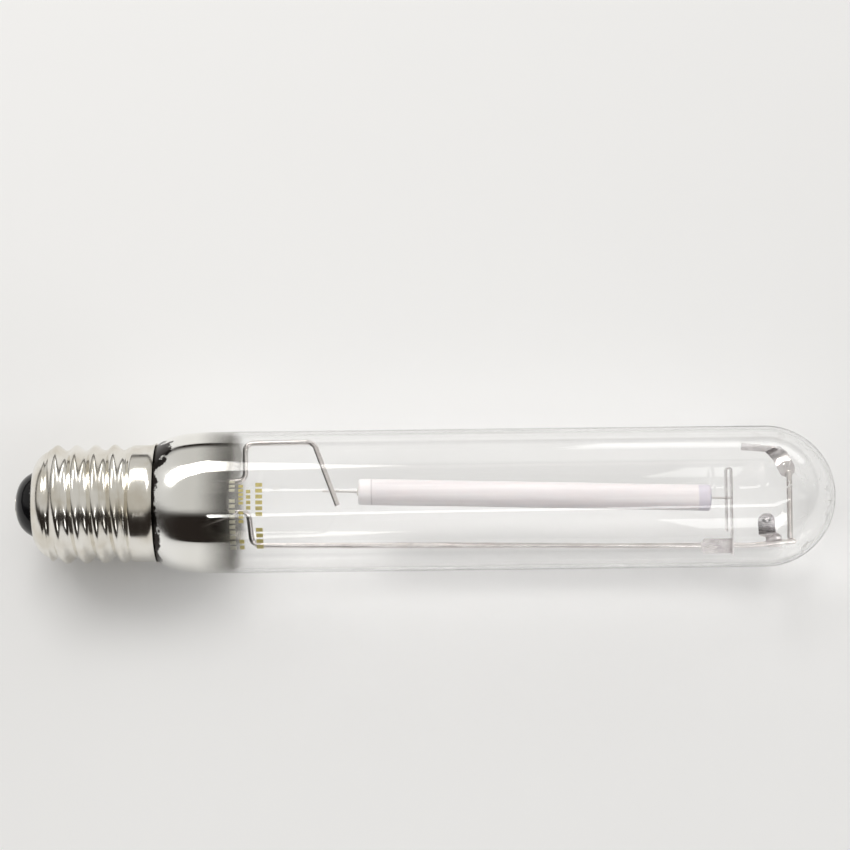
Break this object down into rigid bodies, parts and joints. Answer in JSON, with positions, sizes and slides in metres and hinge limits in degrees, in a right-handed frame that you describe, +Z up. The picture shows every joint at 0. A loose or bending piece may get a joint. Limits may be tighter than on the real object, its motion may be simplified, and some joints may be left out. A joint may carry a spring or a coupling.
{
  "type": "high-pressure sodium lamp",
  "caption": "Clear tubular high-pressure sodium lamp with a nickel screw cap, black glass nose, mirrored neck, wire mount, white ceramic arc tube and dome springs, lying on its side.",
  "frame": {"origin": "on the surface that the lamp lies on, under the middle of its length and its axis", "axes": "+X along the lamp from the cap's nose to the dome, +Z up as the lamp lies, axis of the lamp at half the bulb's diameter above the surface"},
  "size_m": [0.272, 0.047, 0.047],
  "materials": {
    "nickel_plate": "bright nickel plate with fine handling marks",
    "black_glass": "glossy black pressed glass",
    "solder": "dull soft solder",
    "cement": "matt baked basing cement",
    "clear_glass": "clear hard glass, mirrored by the getter at the neck",
    "copper_wire": "plain drawn wire",
    "mount_wire": "bright nickel wire",
    "mount_strip": "smooth rolled strip",
    "white_ceramic": "translucent sintered alumina",
    "sealing_frit": "glassy sealing frit",
    "niobium": "satin niobium wire",
    "tungsten": "drawn tungsten",
    "amalgam": "bright metal drop"
  },
  "bodies": {
    "root": {"screw_shell": "nickel_plate", "centre_contact": "nickel_plate", "base_insulator": "black_glass", "centre_solder": "solder", "shell_weld": "solder", "basing_cement": "cement", "glass_envelope": "clear_glass", "glass_stem": "clear_glass", "exhaust_tube": "clear_glass", "seal_wire_upper": "tungsten", "seal_wire_lower": "tungsten", "centre_lead_wire": "copper_wire", "shell_lead_wire": "copper_wire", "upper_lead_rod": "mount_wire", "frame_rod": "mount_wire", "dome_cross_bar": "mount_wire", "support_strip": "mount_strip", "front_dome_spring": "mount_strip", "rear_dome_spring": "mount_strip", "getter_ring": "mount_strip", "getter_wire": "mount_wire", "arc_tube_body": "white_ceramic", "arc_tube_plug_base": "white_ceramic", "arc_tube_plug_dome": "white_ceramic", "frit_ring_base": "sealing_frit", "frit_ring_dome": "sealing_frit", "niobium_lead_base": "niobium", "niobium_lead_dome": "niobium", "electrode_rod_base": "tungsten", "electrode_rod_dome": "tungsten", "electrode_coil_base": "tungsten", "electrode_coil_dome": "tungsten", "amalgam_pellet": "amalgam"}
  },
  "joints": []
}
